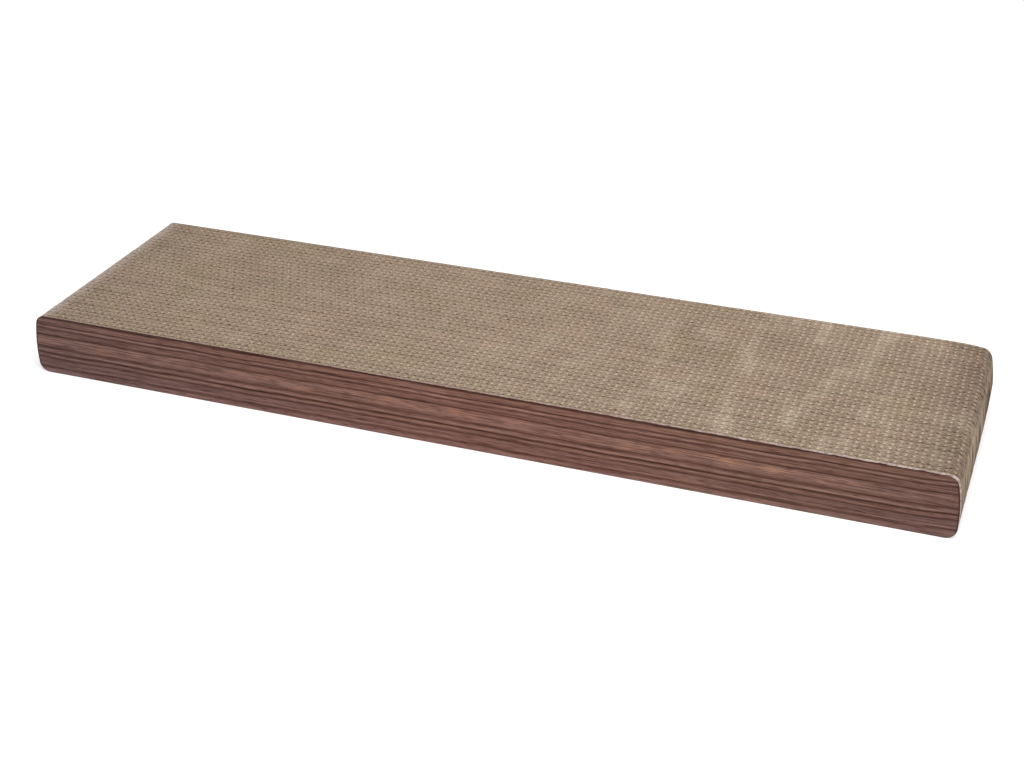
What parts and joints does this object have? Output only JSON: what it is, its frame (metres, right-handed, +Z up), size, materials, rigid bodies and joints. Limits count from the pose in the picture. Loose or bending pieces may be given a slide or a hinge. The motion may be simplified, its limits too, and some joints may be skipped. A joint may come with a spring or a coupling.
{
  "type": "cardboard cat scratcher",
  "caption": "Long flat cat scratching slab of upright corrugated board strips glued face to face, open flutes on top, with a printed wood-grain card on its long sides.",
  "frame": {"origin": "middle of the underside, on the floor", "axes": "+X along the strips, -Y towards the front, +Z up"},
  "size_m": [0.783, 0.2206, 0.0535],
  "materials": {
    "kraft_board": "matt brown recycled kraft paper, cut edges",
    "wood_print_card": "satin card printed with a brown wood grain, white core at its cut edge",
    "dried_glue": "dried white glue, hidden between the strips"
  },
  "bodies": {
    "root": {"strip_01": "kraft_board", "strip_02": "kraft_board", "strip_03": "kraft_board", "strip_04": "kraft_board", "strip_05": "kraft_board", "strip_06": "kraft_board", "strip_07": "kraft_board", "strip_08": "kraft_board", "strip_09": "kraft_board", "strip_10": "kraft_board", "strip_11": "kraft_board", "strip_12": "kraft_board", "strip_13": "kraft_board", "strip_14": "kraft_board", "strip_15": "kraft_board", "strip_16": "kraft_board", "strip_17": "kraft_board", "strip_18": "kraft_board", "strip_19": "kraft_board", "strip_20": "kraft_board", "strip_21": "kraft_board", "strip_22": "kraft_board", "strip_23": "kraft_board", "strip_24": "kraft_board", "strip_25": "kraft_board", "strip_26": "kraft_board", "strip_27": "kraft_board", "strip_28": "kraft_board", "strip_29": "kraft_board", "strip_30": "kraft_board", "strip_31": "kraft_board", "strip_32": "kraft_board", "strip_33": "kraft_board", "strip_34": "kraft_board", "strip_35": "kraft_board", "strip_36": "kraft_board", "front_cover_sheet": "wood_print_card", "back_cover_sheet": "wood_print_card", "glue_lines": "dried_glue"}
  },
  "joints": []
}
